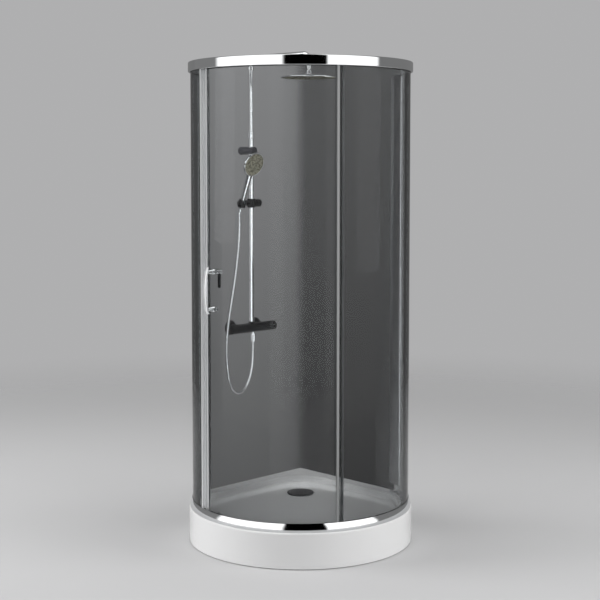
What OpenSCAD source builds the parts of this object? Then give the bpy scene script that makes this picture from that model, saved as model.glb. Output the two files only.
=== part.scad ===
// Corner shower enclosure with a round front: tray, curved frame, sliding door and a shower set.
// The room's corner stands on the origin. One wall is the plane x = 0, the other the plane y = 0.
// The round front is centred on [arc_centre, -arc_centre]. Its angles count from the room's diagonal.

/* [Plan] */
// Outer radius of the two curved rails
rail_r = 466; // [440:1:500]
// How much longer that radius is than the distance from its centre to each wall
front_past = 36; // [30:1:41]
// How far the tray's skirt stands out past the rails
tray_lip = 4; // [2:1:10]

/* [Heights] */
// Height of the tray's rim above the floor
tray_h = 146; // [140:2:200]
// Height of the frame that stands on the tray
frame_h = 1850; // [1840:5:1900]

/* [Tray] */
// Wall of the tray's shell
tray_wall = 8; // [6:1:10]
// Gap between the skirt and the floor, bridged by the feet
skirt_gap = 3; // [2:1:6]
// Width of the tray's rim, from the skirt to the basin
rim_w = 56; // [54:1:62]
// Depth of the basin below the rim
basin_d = 28; // [22:1:34]
// Radius of the basin's corner in the corner of the room
basin_corner_r = 170; // [120:5:200]
// Radius where the basin's wall meets its floor
basin_fillet = 14; // [8:1:20]
// Radius of the rim's outer edge
rim_round = 6; // [3:1:8]
// Thickness of the board under the basin
board_t = 16; // [12:1:18]
// Distance from each wall to the middle of the waste
waste_in = 251; // [245:1:262]
// Diameter of the waste's cover
cover_d = 120; // [110:1:130]
// Diameter of the trap's outlet pipe
outlet_d = 40; // [32:1:50]

/* [Rails] */
// Width of the top rail, from its face to its inner wall
rail_w = 45; // [45:1:52]
// Height of the top rail
top_rail_h = 40; // [36:1:46]
// Height of the bottom rail
bottom_rail_h = 34; // [32:1:40]
// Wall of the rails
rail_t = 3; // [2:0.5:3.5]
// Radius of the top rail's edges
rail_round = 4; // [2:0.5:6]
// Depth of the slots that hold the fixed glass
slot_d = 14; // [10:1:18]

/* [Glass] */
// Thickness of all glass
glass_t = 6; // [5:0.5:7]
// Distance from the rail's face to the outer face of the fixed glass
glass_setback = 10; // [8:0.5:11]
// Radial gap between the door and the fixed glass
door_gap = 8; // [7:0.5:8.5]
// Clearance on each side of a piece that slides or slots into another
slot_play = 0.3; // [0.2:0.05:0.4]

/* [Opening] */
// Angle of the fixed glass's edge on the side where the door closes
left_edge_a = 60.4; // [56:0.1:66]
// Angle of the fixed glass's edge on the side that the door slides behind
right_edge_a = 18.2; // [14:0.1:22]
// Overlap of the closed door with that fixed glass, as an angle
overlap_a = 4.1; // [3:0.1:5]
// How far the door slides open, as an angle
open_a = 64; // [50:1:66]
// Width of the profiles on the upright glass edges
edge_profile_w = 10; // [8:0.5:14]

/* [Wall profiles] */
// Width of the post that holds the fixed glass's end
post_w = 50; // [44:1:56]
// Wall of the channels that are screwed to the house wall
channel_t = 2.5; // [2:0.25:3]
// Width of the channel's foot on the house wall
foot_w = 46; // [40:1:56]
// Depth of the glass in the post
post_jaw = 18; // [12:1:24]
// Number of screws in each channel
screw_count = 3; // [2:1:5]
// Distance from a channel's ends to its first and last screw
screw_end = 120; // [80:5:300]
// Diameter of the screw holes in the channels
screw_hole_d = 5; // [4:0.5:6]

/* [Rollers] */
// Radius of the door's wheels
wheel_r = 10; // [8:0.5:10.5]
// Width of the wheels
wheel_w = 4.6; // [4:0.1:4.8]
// Diameter of the axles
axle_d = 6; // [5:0.5:7]
// Radial clearance between wheel and axle
bearing_play = 0.05; // [0.02:0.01:0.09]
// Angle from the door's upright edges to its wheels
wheel_in_a = 9; // [6:0.5:14]

/* [Handle] */
// Angle of the handle from the door's leading edge
handle_in_a = 6.8; // [6:0.1:10]
// Height of the handle's middle above the floor
handle_z = 1076; // [950:1:1150]
// Length of the handle's bar
handle_len = 188; // [170:2:220]
// Distance between the handle's standoffs
standoff_pitch = 150; // [120:2:160]
// Greatest width of the bar
bar_w = 18; // [16:1:22]
// Width of the bar at its ends
bar_end_w = 12; // [8:0.5:13]
// Thickness of the bar
bar_t = 9; // [7:0.5:11]
// Distance from the door's glass to the ends of the bar
bar_reach = 28; // [24:1:36]
// How far the bar's middle bows out past its ends
bar_bow = 14; // [10:1:24]
// Diameter of the standoffs' discs
disc_d = 26; // [20:1:30]
// Diameter of the standoffs
standoff_d = 20; // [14:0.5:22]
// How far the inner pull's neck stands into the enclosure
pull_reach = 32; // [28:1:40]
// Diameter of that neck
pull_neck_d = 22; // [18:1:24]
// How far the grip hangs below the neck
pull_drop = 56; // [50:2:80]
// Diameter of the grip
pull_d = 13; // [10:0.5:14]

/* [Shower set] */
// Distance from the wall to the riser's axis
riser_in = 66; // [62:1:72]
// Distance from the room's corner to the riser's axis
riser_from_corner = 374; // [360:1:380]
// Diameter of the lower riser
lower_d = 22; // [20:1:25]
// Diameter of the upper riser and the arm
upper_d = 18; // [14:1:18]
// Radial clearance between the two risers
riser_play = 0.08; // [0.03:0.01:0.1]
// Height of the collar's top, where the upper riser comes out
collar_z = 1722; // [1700:2:1780]
// Height of the wall bracket's axis
bracket_z = 1636; // [1610:2:1660]
// Diameter of the wall bracket
bracket_d = 34; // [30:1:38]
// How far the wall bracket reaches from the wall
bracket_reach = 89; // [82:1:110]
// Height of the arm's axis
arm_z = 2042; // [2036:1:2070]
// Distance from the wall to the middle of the rain head
head_out = 424; // [400:2:440]
// Bend radius of the arm's axis
arm_bend = 32; // [28:1:40]
// Diameter of the rain head
head_d = 240; // [200:5:260]
// Height of the arm's axis above the rain head's underside
head_drop = 104; // [98:1:112]
// Height of the mixer's axis
mixer_z = 853; // [840:1:870]
// Diameter of the mixer's body
mixer_d = 41; // [38:1:46]
// Length of the mixer without its knobs
mixer_len = 181; // [178:1:200]
// Length of each of the mixer's knobs
knob_len = 41; // [36:1:52]
// Distance between the mixer's two inlets
inlet_pitch = 150; // [148:1:152]
// Bore of the mixer's inlets
inlet_bore = 15; // [12:0.5:17]
// Distance from the room's corner to the middle of the mixer
mixer_from_corner = 367; // [362:1:374]
// Height of the slider
slider_z = 1406; // [1380:2:1420]
// Length of the slider's clamp knob
slider_knob_len = 32; // [26:1:40]
// Distance from the room's corner to the handset's holder
holder_from_corner = 447; // [440:1:454]
// Distance from the wall to the handset's axis in its holder
holder_in = 86; // [80:1:90]
// Lean of the handset away from the wall
handset_lean = 22; // [18:1:26]
// Diameter of the handset's head
handset_head_d = 110; // [100:1:120]
// Distance from the holder to the middle of the handset's head
handset_reach = 186; // [176:1:200]
// Diameter of the handset's handle in its holder
handset_grip_d = 20; // [18:0.5:21]
// Diameter of the hose
hose_d = 12; // [10:0.5:13]

/* [Hidden] */

ring_fn = 240;
round_fn = 64;

chrome = [0.80, 0.81, 0.82];
graphite = [0.24, 0.24, 0.26];
acrylic = [0.96, 0.96, 0.96];
smoked = [0.42, 0.44, 0.46, 0.45];
clear_seal = [0.75, 0.77, 0.78, 0.7];
rubber = [0.12, 0.12, 0.12];
steel = [0.62, 0.63, 0.65];
spray = [0.72, 0.68, 0.52];

arc_centre = rail_r - front_past;
tray_r = rail_r + tray_lip;
frame_top = tray_h + frame_h;
top_rail_z = frame_top - top_rail_h;
rim_in_r = tray_r - rim_w;
basin_z = tray_h - basin_d;

// Radii of the glass, the door's channel and the wheels' track
fixed_out = rail_r - glass_setback;
fixed_in = fixed_out - glass_t;
door_out = fixed_in - door_gap;
door_in = door_out - glass_t;
channel_out = fixed_in - slot_play - rail_t;
track_out = door_in - 4.5;
track_in = rail_r - rail_w + rail_t;
bottom_in = track_in;
track_step = 4;
bottom_track_h = 12;

// Angles along the round front
end_play = 0.5;
rail_end_a = 135 - acos((arc_centre - end_play) / rail_r);
fixed_mid = (fixed_in + fixed_out) / 2;
door_mid = (door_in + door_out) / 2;
post_front_a = rail_end_a - deg(post_w, fixed_mid);
glass_end_a = post_front_a + deg(post_jaw - 1, fixed_mid);
door_lead_a = -left_edge_a + deg(edge_profile_w * 1.5, door_mid);
door_trail_a = right_edge_a + overlap_a;
handle_a = door_lead_a + handle_in_a;
profile_t = 2;
magnet_t = 6;
magnet_w = 3;

// Heights of the glass
fixed_z0 = tray_h + bottom_rail_h - slot_d;
fixed_z1 = top_rail_z + slot_d - 2;
door_z0 = tray_h + rail_t + 6;
door_z1 = frame_top - rail_t - 8;
wheel_z0 = tray_h + bottom_track_h + slot_play + wheel_r;
wheel_z1 = top_rail_z + track_step + slot_play + wheel_r;
wheel_r1 = track_out - 0.5;
wheel_r0 = wheel_r1 - wheel_w;
profile_z0 = tray_h + bottom_rail_h + slot_play;
profile_z1 = top_rail_z - slot_play;
post_play = 0.3;
post_in_r = fixed_in - rail_t - 0.7;
post_out_r = fixed_out + rail_t + 2.7;

// Tray's board, feet and waste
flange_d = 90;
board_z = basin_z - tray_wall - board_t;
board_inset = rim_w + 6;
board_hole = flange_d + 24;
// Feet stand at these places, given as distances from the two walls
foot_in = rim_w + 54;
foot_from_rail = 170;
foot_r = rail_r - foot_from_rail;
foot_a = 12;
feet = [
    [foot_in, arc_centre], [arc_centre, foot_in],
    [arc_centre + foot_r * cos(foot_a), arc_centre - foot_r * sin(foot_a)],
    [arc_centre - foot_r * sin(foot_a), arc_centre + foot_r * cos(foot_a)],
    [arc_centre + foot_r * cos(45), arc_centre + foot_r * sin(45)]
];
leg_w = 30;
leg_h = 20;
leg_t = 2;
stud_d = 10;
stud_play = 0.05;
spigot_d = 60;
// Opening in the skirt at the room's corner, through which the waste pipe leaves
pipe_gap = 110;
pipe_gap_h = 89;
pipe_len = 130;
socket_len = 70;
trap_d = 84;
trap_z = 24;
flange_t = 3;
cover_t = 6;
cover_gap = 0.3;
cover_play = 0.08;

// Edges, wheels, stops and handle of the door
edge_cover_a = deg(edge_profile_w - profile_t, fixed_mid);
edge_lip_a = deg(profile_t, fixed_mid);
close_gap = 0.3;
magnet_a = deg(magnet_w, door_mid);
wheel_angles = [door_lead_a + wheel_in_a, door_trail_a - wheel_in_a];
standoff_heights = [handle_z - standoff_pitch / 2, handle_z + standoff_pitch / 2];
// Stops stand where the wheels end their travel
stop_d = 6;
stop_past_a = deg(wheel_r + stop_d + 0.5, track_in);
stop_angles = [wheel_angles[0] - stop_past_a, wheel_angles[1] + open_a + stop_past_a];
bar_steps = 22;
bar_sides = 24;
washer_t = 1;
bar_seat = 0.08;
grip_r = door_in - pull_reach + pull_d / 2 + 2;
grip_socket = 9;
bolt_d = 6;
bolt_play = 0.2;
// Gap where a flat face stands before a curved one
seat_gap = 0.1;

// Screws of the wall channels and posts
post_screw_a = post_front_a + deg(26, fixed_mid);
post_screw_up = 60;
post_screw_d = 4;
post_wall = 1.8;
screw_y = -(arc_centre + sqrt(pow(post_out_r + post_play + channel_t, 2) - pow(arc_centre, 2))
    - foot_w + 12);
screw_heights = [
    for (i = [0 : screw_count - 1])
        tray_h + bottom_rail_h + screw_end
            + i * (frame_h - top_rail_h - bottom_rail_h - 2 * screw_end) / (screw_count - 1)
];

// Places of the shower set
riser = [riser_in, -riser_from_corner];
mixer_y = -mixer_from_corner;
riser_base_z = mixer_z + mixer_d / 2 + 8;
upper_z0 = bracket_z - 30;
collar_h = 33;
nut_z = arm_z - arm_bend - 24;
head_z = arm_z - head_drop;
joint_z = head_z + 36;
slider_r = 18;
slider_hgt = 40;
hose_sides = 10;
inlet_ys = [mixer_y - inlet_pitch / 2, mixer_y + inlet_pitch / 2];
boss_d = 28;
boss_len = 10;
union_end = riser_in - mixer_d / 2 - boss_len;
union_d = 24;
union_nut_d = 38;
union_nut_h = 14;
rose_d = 66;
rose_h = 13;
knob_gap = 0.3;
outlet_z = mixer_z - mixer_d / 2;
outlet_neck = 8;
arm_play = 0.05;
arm_seat = 2.3;
ball_r = 8;
ball_play = 0.06;
ball_z = head_z + 22;
rain_rows = 6;
slide_play = 0.08;
slider_axis_x = riser_in;
holder_r = 18;
holder_hgt = 34;
holder_y0 = holder_from_corner - riser_from_corner - holder_r;
grip_play = 0.3;
handset_base = -24;
head_t = 20;
face_rim = 5;
face_depth = 2.5;

// Way of the hose from the mixer to the handset, chosen by hand
hose_points = [
    [66, -365, 791.7], [66.2, -365.6, 747.7], [67.8, -370.1, 704], [70.7, -380.7, 661.5],
    [74.5, -399.8, 622.2], [79, -428, 589], [84.2, -466.9, 574], [88.4, -503.9, 591.8],
    [90.4, -525.8, 629.6], [91.4, -537.5, 672], [92.2, -543.9, 715.4], [93.3, -546.9, 759.3],
    [94.4, -546.8, 803.2], [95.2, -543.6, 847.1], [95.5, -537.7, 890.7], [95.1, -529.6, 933.9],
    [93.6, -519.6, 976.7], [90.9, -508.2, 1019], [86.9, -495.9, 1061.1], [82.1, -483.5, 1103],
    [77.1, -471.5, 1145], [72.3, -460.8, 1187.4], [68.4, -452.1, 1230.3], [66, -446.3, 1273.8],
    [65.6, -444.3, 1317.7], [68, -447, 1361.5]
];
hose_steps = 2;
// Gap between the hose's end and the nut that turns with the handset
hose_gap = 0.05;

// Angle that a length takes on a circle
function deg(len, r) = len / r * 180 / PI;

// Points between two of the hose's points, on a smooth curve through all of them
function through(p, q, r, s, t) = 0.5 * (2 * q + (r - p) * t
    + (2 * p - 5 * q + 4 * r - s) * t * t + (3 * q - p - 3 * r + s) * t * t * t);
function at(points, i) = points[max(0, min(len(points) - 1, i))];
function smooth(points, steps) = [
    for (i = [0 : len(points) - 2], k = [0 : steps - 1])
        through(at(points, i - 1), points[i], points[i + 1], at(points, i + 2), k / steps),
    points[len(points) - 1]
];
function unit(v) = v / norm(v);
function way(points, i) = unit(at(points, i + 1) - at(points, i - 1));

// Closed skin over rings of points, given ring after ring with as many sides each
module skin(rings, sides) {
    n = len(rings) / sides;
    walls = [
        for (i = [0 : n - 2], k = [0 : sides - 1])
            let (a = i * sides + k, b = i * sides + (k + 1) % sides)
            each [[a, a + sides, b], [b, a + sides, b + sides]]
    ];
    start = [for (k = [1 : sides - 2]) [0, k, k + 1]];
    base = (n - 1) * sides;
    finish = [for (k = [1 : sides - 2]) [base, base + k + 1, base + k]];
    polyhedron(rings, concat(walls, start, finish), convexity = 8);
}

// Solid tube along points, each ring square to the way
module tube_along(points, d, sides, first, last) {
    n = len(points);
    side = [1, 0, 0];
    skin([
        for (i = [0 : n - 1])
            let (w = i == 0 ? first : i == n - 1 ? last : way(points, i))
            let (u = unit(side - (side * w) * w))
            let (v = cross(w, u))
            for (k = [0 : sides - 1])
                points[i] + d / 2 * (cos(360 * k / sides) * u + sin(360 * k / sides) * v)
    ], sides);
}

// Turns a section of [radius, height] round the arc's centre between two angles
module round_front(a1, a2) {
    translate([arc_centre, -arc_centre, 0])
        rotate(-45 + a1)
            rotate_extrude(angle = a2 - a1, $fn = ring_fn)
                children();
}

// Ring piece with flat ends and a rectangular section
module ring_piece(r1, r2, z1, z2, a1, a2) {
    round_front(a1, a2)
        translate([r1, z1])
            square([r2 - r1, z2 - z1]);
}

// Places children on the round front: x outwards, y along the front, z up
module on_front(a, r, z) {
    translate([arc_centre, -arc_centre, z])
        rotate(-45 + a)
            translate([r, 0, 0])
                children();
}

// Rod from radius r1 to radius r2, square to the front
module radial_rod(a, z, r1, r2, d) {
    on_front(a, r1, z)
        rotate([0, 90, 0])
            cylinder(h = r2 - r1, d = d, $fn = round_fn);
}

// Disc that follows the glass's curve between two radii
module glass_disc(a, z, r1, r2, d) {
    intersection() {
        radial_rod(a, z, r1 - 5, r2 + 5, d);
        ring_piece(r1, r2, z - d, z + d, a - 6, a + 6);
    }
}

// The other side of the enclosure, across the room's diagonal
module other_side() {
    mirror([1, 1, 0])
        children();
}

module rounded_square(w, h, r) {
    translate([r, 0])
        square([w - 2 * r, h]);
    translate([0, r])
        square([w, h - 2 * r]);
    for (x = [r, w - r], y = [r, h - r])
        translate([x, y])
            circle(r, $fn = 32);
}

// Outline of the tray at a distance inside its edge: round front and square corner
module tray_outline(inset, z1, z2) {
    side = tray_r + arc_centre;
    intersection() {
        union() {
            translate([arc_centre, -arc_centre, z1])
                cylinder(h = z2 - z1, r = tray_r - inset, $fn = ring_fn);
            translate([0, -arc_centre, z1])
                cube([arc_centre, arc_centre, z2 - z1]);
        }
        translate([inset, -side, z1 - 1])
            cube([side - inset, side - inset, z2 - z1 + 2]);
    }
}

// Space of the basin: filleted bowl cut by two filleted side walls and a round corner
module basin_space() {
    f = basin_fillet;
    up = basin_d + 1;
    corner = rim_w + basin_corner_r;
    side = tray_r + arc_centre;
    intersection() {
        union() {
            translate([arc_centre, -arc_centre, basin_z])
                rotate_extrude($fn = ring_fn) {
                    square([rim_in_r - f, up]);
                    translate([0, f])
                        square([rim_in_r, up - f]);
                    translate([rim_in_r - f, f])
                        circle(f, $fn = round_fn);
                }
            translate([0, -arc_centre, basin_z])
                cube([arc_centre, arc_centre, up]);
        }
        union() {
            intersection() {
                basin_side(side, up);
                other_side()
                    basin_side(side, up);
                translate([0, -side, basin_z - 1])
                    difference() {
                        cube([side, side, up + 2]);
                        translate([0, side - corner, 0])
                            cube([corner, corner, up + 2]);
                    }
            }
            translate([corner, -corner, basin_z])
                rotate(90)
                    rotate_extrude(angle = 90, $fn = ring_fn) {
                        square([basin_corner_r - f, up]);
                        translate([0, f])
                            square([basin_corner_r, up - f]);
                        translate([basin_corner_r - f, f])
                            circle(f, $fn = round_fn);
                    }
        }
    }
}

// Filleted trough along the wall x = 0
module basin_side(side, up) {
    f = basin_fillet;
    translate([rim_w, 0, basin_z])
        rotate([90, 0, 0])
            linear_extrude(side) {
                translate([f, 0])
                    square([side, up]);
                translate([0, f])
                    square([side, up - f]);
                translate([f, f])
                    circle(f, $fn = round_fn);
            }
}

module shower_tray() color(acrylic) {
    under = basin_z - tray_wall;
    rim_gap = rim_w - tray_wall;
    side = tray_r + arc_centre;
    difference() {
        union() {
            intersection() {
                translate([arc_centre, -arc_centre, skirt_gap])
                    rotate_extrude($fn = ring_fn)
                        tray_front_section();
                translate([0, -side, 0])
                    cube([side, side, tray_h + 1]);
            }
            translate([0, -arc_centre, skirt_gap])
                cube([arc_centre, arc_centre, tray_h - skirt_gap]);
        }
        basin_space();
        tray_outline(tray_wall, skirt_gap - 1, under);
        difference() {
            tray_outline(tray_wall, under - 1, tray_h - tray_wall);
            tray_outline(rim_gap, under - 2, tray_h);
        }
        waste_hole(basin_z - tray_wall - 1, basin_z + 1);
        translate([waste_in, -waste_in, basin_z - 3])
            cylinder(h = 4, d = cover_d + 8, $fn = round_fn);
        translate([-1, -pipe_gap, skirt_gap - 1])
            cube([pipe_gap + 1, pipe_gap + 1, pipe_gap_h + 1]);
    }
}

// Section of the round front from its middle out, rounded at the rim's outer edge
module tray_front_section() {
    h = tray_h - skirt_gap;
    square([tray_r - rim_round, h]);
    square([tray_r, h - rim_round]);
    translate([tray_r - rim_round, h - rim_round])
        circle(rim_round, $fn = round_fn);
}

module waste_hole(z1, z2) {
    translate([waste_in, -waste_in, z1])
        cylinder(h = z2 - z1, d = flange_d, $fn = round_fn);
}

module tray_board() color("burlywood") difference() {
    tray_outline(board_inset, board_z, board_z + board_t);
    translate([waste_in, -waste_in, board_z - 1])
        cylinder(h = board_t + 2, d = board_hole, $fn = round_fn);
}

module leg_channel(a, b) {
    along = b - a;
    len = norm(along);
    translate([a[0], -a[1], board_z - leg_h])
        rotate(-atan2(along[1], along[0]))
            difference() {
                translate([-leg_w / 2, -leg_w / 2, 0])
                    cube([len + leg_w, leg_w, leg_h]);
                translate([-leg_w, leg_t - leg_w / 2, -1])
                    cube([len + 2 * leg_w, leg_w - 2 * leg_t, leg_h - leg_t + 1]);
            }
}

module tray_leg_frame() color(steel) difference() {
    union() {
        leg_channel(feet[0], feet[3]);
        leg_channel(feet[1], feet[2]);
        leg_channel(feet[4] - [leg_w, 0], feet[4] + [leg_w, 0]);
    }
    for (p = feet)
        translate([p[0], -p[1], board_z - leg_h - 1])
            cylinder(h = leg_h + 2, d = stud_d + 2 * stud_play, $fn = round_fn);
}

module tray_feet() color(rubber)
    for (p = feet)
        translate([p[0], -p[1], 0]) {
            rotate_extrude($fn = round_fn)
                polygon([[0, 0], [22, 0], [22, 5], [16, 9], [9, 12], [9, 20], [0, 20]]);
            cylinder(h = board_z - 0.5, d = stud_d, $fn = round_fn);
            translate([0, 0, board_z - leg_t - 8])
                cylinder(h = 8, d = 19, $fn = 6);
        }

module waste_flange() color(steel)
    translate([waste_in, -waste_in, 0])
        rotate_extrude($fn = round_fn)
            polygon([
                [spigot_d / 2 + 3, basin_z - 3], [cover_d / 2 - 4, basin_z - 3],
                [cover_d / 2 - 4, basin_z - 3 + flange_t], [spigot_d / 2, basin_z - 3 + flange_t],
                [spigot_d / 2, basin_z - 22], [spigot_d / 2 + 3, basin_z - 22]
            ]);

module waste_trap() color("white") difference() {
    seat_z = basin_z - tray_wall;
    union() {
        translate([waste_in, -waste_in, 0])
            rotate_extrude($fn = round_fn)
                polygon([
                    [0, trap_z], [trap_d / 2 - 4, trap_z], [trap_d / 2, trap_z + 4],
                    [trap_d / 2, seat_z - 16], [flange_d / 2 + 7, seat_z - 12],
                    [flange_d / 2 + 7, seat_z], [0, seat_z]
                ]);
        trap_pipe(outlet_d, pipe_len);
        trap_pipe(outlet_d + 10, socket_len);
    }
    translate([waste_in, -waste_in, trap_z + 3])
        cylinder(h = seat_z - 16 - trap_z, d = trap_d - 6, $fn = round_fn);
    translate([waste_in, -waste_in, seat_z - 20])
        cylinder(h = 21, d = spigot_d + 6 + 2 * slot_play, $fn = round_fn);
    trap_pipe(outlet_d - 4, pipe_len + 1);
}

// Outlet of the trap, which runs toward the room's corner
module trap_pipe(d, len) {
    translate([waste_in, -waste_in, trap_z + outlet_d / 2 + 6])
        rotate([0, 90, 135])
            cylinder(h = len, d = d, $fn = round_fn);
}

module drain_cover() color(graphite)
    translate([waste_in, -waste_in, 0]) {
        rotate_extrude($fn = 96)
            polygon([
                [0, basin_z + cover_gap], [cover_d / 2 - 2, basin_z + cover_gap],
                [cover_d / 2, basin_z + cover_gap + 2], [cover_d / 2 - 1, basin_z + cover_t - 1],
                [cover_d / 2 - 6, basin_z + cover_t], [0, basin_z + cover_t + 1]
            ]);
        difference() {
            translate([0, 0, basin_z - 18])
                cylinder(h = 18 + cover_gap, r = spigot_d / 2 - cover_play, $fn = round_fn);
            translate([0, 0, basin_z - 19])
                cylinder(h = 18, r = spigot_d / 2 - 3, $fn = round_fn);
            for (a = [0, 60, 120])
                rotate(a)
                    translate([-spigot_d, -5, basin_z - 13])
                        cube([2 * spigot_d, 10, 9]);
        }
    }

// Section of the bottom rail: leaning face, glass slot, door channel and wheel track
module bottom_rail_section() {
    face_r = 60;
    intersection() {
        difference() {
            translate([bottom_in, tray_h])
                square([rail_w - rail_t, bottom_rail_h]);
            translate([fixed_in - slot_play, fixed_z0])
                square([glass_t + 2 * slot_play, slot_d + 1]);
            translate([track_out, tray_h + rail_t])
                square([channel_out - track_out, bottom_rail_h]);
            translate([bottom_in - 1, tray_h + bottom_track_h])
                square([track_out - bottom_in + 2, bottom_rail_h]);
            translate([channel_out, tray_h + bottom_rail_h - 2])
                square([rail_t + slot_play, 3]);
        }
        translate([rail_r - face_r, tray_h + 4])
            circle(face_r, $fn = ring_fn);
    }
}

module bottom_rail() color(chrome)
    round_front(-rail_end_a, rail_end_a)
        bottom_rail_section();

// Section of the top rail: rounded header, glass slot, door channel and wheel ledge
module top_rail_section() {
    difference() {
        translate([rail_r - rail_w, top_rail_z])
            rounded_square(rail_w, top_rail_h, rail_round);
        translate([fixed_in - slot_play, top_rail_z - 1])
            square([glass_t + 2 * slot_play, slot_d + 1]);
        translate([track_out, top_rail_z - 1])
            square([channel_out - track_out, top_rail_h - rail_t]);
        translate([track_in, top_rail_z + track_step])
            square([track_out - track_in + 1, top_rail_h - rail_t - track_step - 1]);
    }
}

module top_rail() color(chrome) difference() {
    round_front(-rail_end_a, rail_end_a)
        top_rail_section();
    for (a = stop_angles)
        radial_rod(a, wheel_z1, track_in - rail_t - 1, track_in + 1, stop_d + bolt_play);
}

module door_stops() color(rubber)
    for (a = stop_angles) {
        radial_rod(a, wheel_z1, track_in - rail_t, track_in + 1, stop_d);
        radial_rod(a, wheel_z1, track_in, track_out - 2, 2 * stop_d);
    }

// Channel on the wall x = 0 with legs that follow the front on both sides of the post
module wall_channel() {
    leg_in = post_in_r - post_play;
    leg_out = post_out_r + post_play;
    leg_end = post_front_a + deg(6, fixed_mid);
    foot_y = arc_centre + sqrt(pow(leg_out + channel_t, 2) - pow(arc_centre, 2));
    web_y = foot_y - foot_w * 0.4;
    height = profile_z1 - profile_z0;
    difference() {
        union() {
            intersection() {
                union() {
                    ring_piece(leg_in - channel_t, leg_in, profile_z0, profile_z1, -135, -leg_end);
                    ring_piece(leg_out, leg_out + channel_t, profile_z0, profile_z1, -135, -leg_end);
                }
                translate([0, -2 * arc_centre, profile_z0 - 1])
                    cube([arc_centre, 2 * arc_centre - web_y, height + 2]);
            }
            intersection() {
                translate([0, -web_y, profile_z0])
                    cube([arc_centre, channel_t, height]);
                translate([arc_centre, -arc_centre, profile_z0 - 1])
                    difference() {
                        cylinder(h = height + 2, r = 2 * arc_centre, $fn = ring_fn);
                        translate([0, 0, -1])
                            cylinder(h = height + 4, r = leg_in - channel_t, $fn = ring_fn);
                    }
            }
            intersection() {
                translate([0, -foot_y, profile_z0])
                    cube([channel_t + 0.5, foot_w, height]);
                translate([arc_centre, -arc_centre, profile_z0 - 1])
                    cylinder(h = height + 2, r = leg_out + channel_t, $fn = ring_fn);
            }
        }
        for (z = screw_heights) {
            translate([-1, screw_y, z])
                rotate([0, 90, 0])
                    cylinder(h = channel_t + 3, d = screw_hole_d, $fn = round_fn);
            post_screw_hole(z + post_screw_up);
        }
    }
}

module post_screw_hole(z) {
    radial_rod(-post_screw_a, z, post_in_r - 9, post_in_r + post_wall + 1, post_screw_d + bolt_play);
}

module left_wall_profile() color(chrome)
    wall_channel();

module right_wall_profile() color(chrome)
    other_side()
        wall_channel();

// Post that slides in the wall channel and holds the fixed glass's end in a jaw
module post() {
    jaw_a = post_front_a + deg(post_jaw, fixed_mid);
    difference() {
        ring_piece(post_in_r, post_out_r, profile_z0, profile_z1, -rail_end_a + 0.6, -post_front_a);
        ring_piece(fixed_in, fixed_out, profile_z0 - 1, profile_z1 + 1, -jaw_a, -post_front_a + 1);
        ring_piece(post_in_r + post_wall, post_out_r - post_wall, profile_z0 - 1, profile_z1 + 1,
            -rail_end_a + 1.2, -jaw_a - 0.4);
        for (z = screw_heights)
            post_screw_hole(z + post_screw_up);
    }
}

module left_post() color(chrome)
    post();

module right_post() color(chrome)
    other_side()
        post();

module left_fixed_glass() color(smoked)
    ring_piece(fixed_in, fixed_out, fixed_z0, fixed_z1, -glass_end_a, -left_edge_a);

module right_fixed_glass() color(smoked)
    ring_piece(fixed_in, fixed_out, fixed_z0, fixed_z1, right_edge_a, glass_end_a);

// Profile round an upright edge of glass between two radii, with the edge at angle a
module glass_edge_profile(r1, r2, a, into, past) {
    difference() {
        ring_piece(r1 - profile_t, r2 + profile_t, profile_z0, profile_z1, min(a + into, a + past),
            max(a + into, a + past));
        ring_piece(r1, r2, profile_z0 - 1, profile_z1 + 1, min(a, a + 2 * into), max(a, a + 2 * into));
    }
}

module left_end_profile() color(chrome) {
    stop_front_a = door_lead_a - magnet_a - deg(close_gap + magnet_w, door_mid);
    glass_edge_profile(fixed_in, fixed_out, -left_edge_a, -edge_cover_a, edge_lip_a);
    ring_piece(door_in - profile_t, fixed_in - profile_t / 2, profile_z0 + 1, profile_z1 - 1,
        -left_edge_a - deg(profile_t, door_mid), stop_front_a);
}

module left_magnet_strip() color(clear_seal)
    ring_piece(door_mid - magnet_t / 2, door_mid + magnet_t / 2, profile_z0, profile_z1,
        door_lead_a - magnet_a - deg(close_gap + magnet_w, door_mid),
        door_lead_a - magnet_a - deg(close_gap, door_mid));

module right_edge_profile() color(chrome)
    glass_edge_profile(fixed_in, fixed_out, right_edge_a, edge_cover_a, -edge_lip_a);

module door_glass() color(smoked) difference() {
    ring_piece(door_in, door_out, door_z0, door_z1, door_lead_a + edge_lip_a,
        door_trail_a - edge_lip_a);
    for (a = wheel_angles, z = [wheel_z0, wheel_z1])
        radial_rod(a, z, door_in - 5, door_out + 5, axle_d + 2);
    for (z = standoff_heights)
        radial_rod(handle_a, z, door_in - 5, door_out + 5, bolt_d + 1);
}

module door_leading_profile() color(chrome)
    glass_edge_profile(door_in, door_out, door_lead_a + edge_lip_a, edge_cover_a, -edge_lip_a);

module door_magnet_strip() color(clear_seal)
    ring_piece(door_mid - magnet_t / 2, door_mid + magnet_t / 2, profile_z0, profile_z1,
        door_lead_a - magnet_a, door_lead_a);

module door_trailing_seal() color(clear_seal)
    glass_edge_profile(door_in, door_out, door_trail_a - edge_lip_a, -edge_cover_a * 0.8,
        edge_lip_a);

module roller_axles() color(steel)
    for (a = wheel_angles, z = [wheel_z0, wheel_z1]) {
        radial_rod(a, z, wheel_r0 - 0.2, door_out, axle_d);
        radial_rod(a, z, wheel_r0 - 1.4, wheel_r0 - 0.2, axle_d + 4);
        radial_rod(a, z, wheel_r1 + 0.2, door_in - seat_gap, axle_d + 6);
    }

module roller_caps() color(chrome)
    for (a = wheel_angles, z = [wheel_z0, wheel_z1])
        difference() {
            glass_disc(a, z, door_out, door_out + 3, 16);
            radial_rod(a, z, door_out - 1, door_out + 0.5, axle_d + 1);
        }

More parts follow.
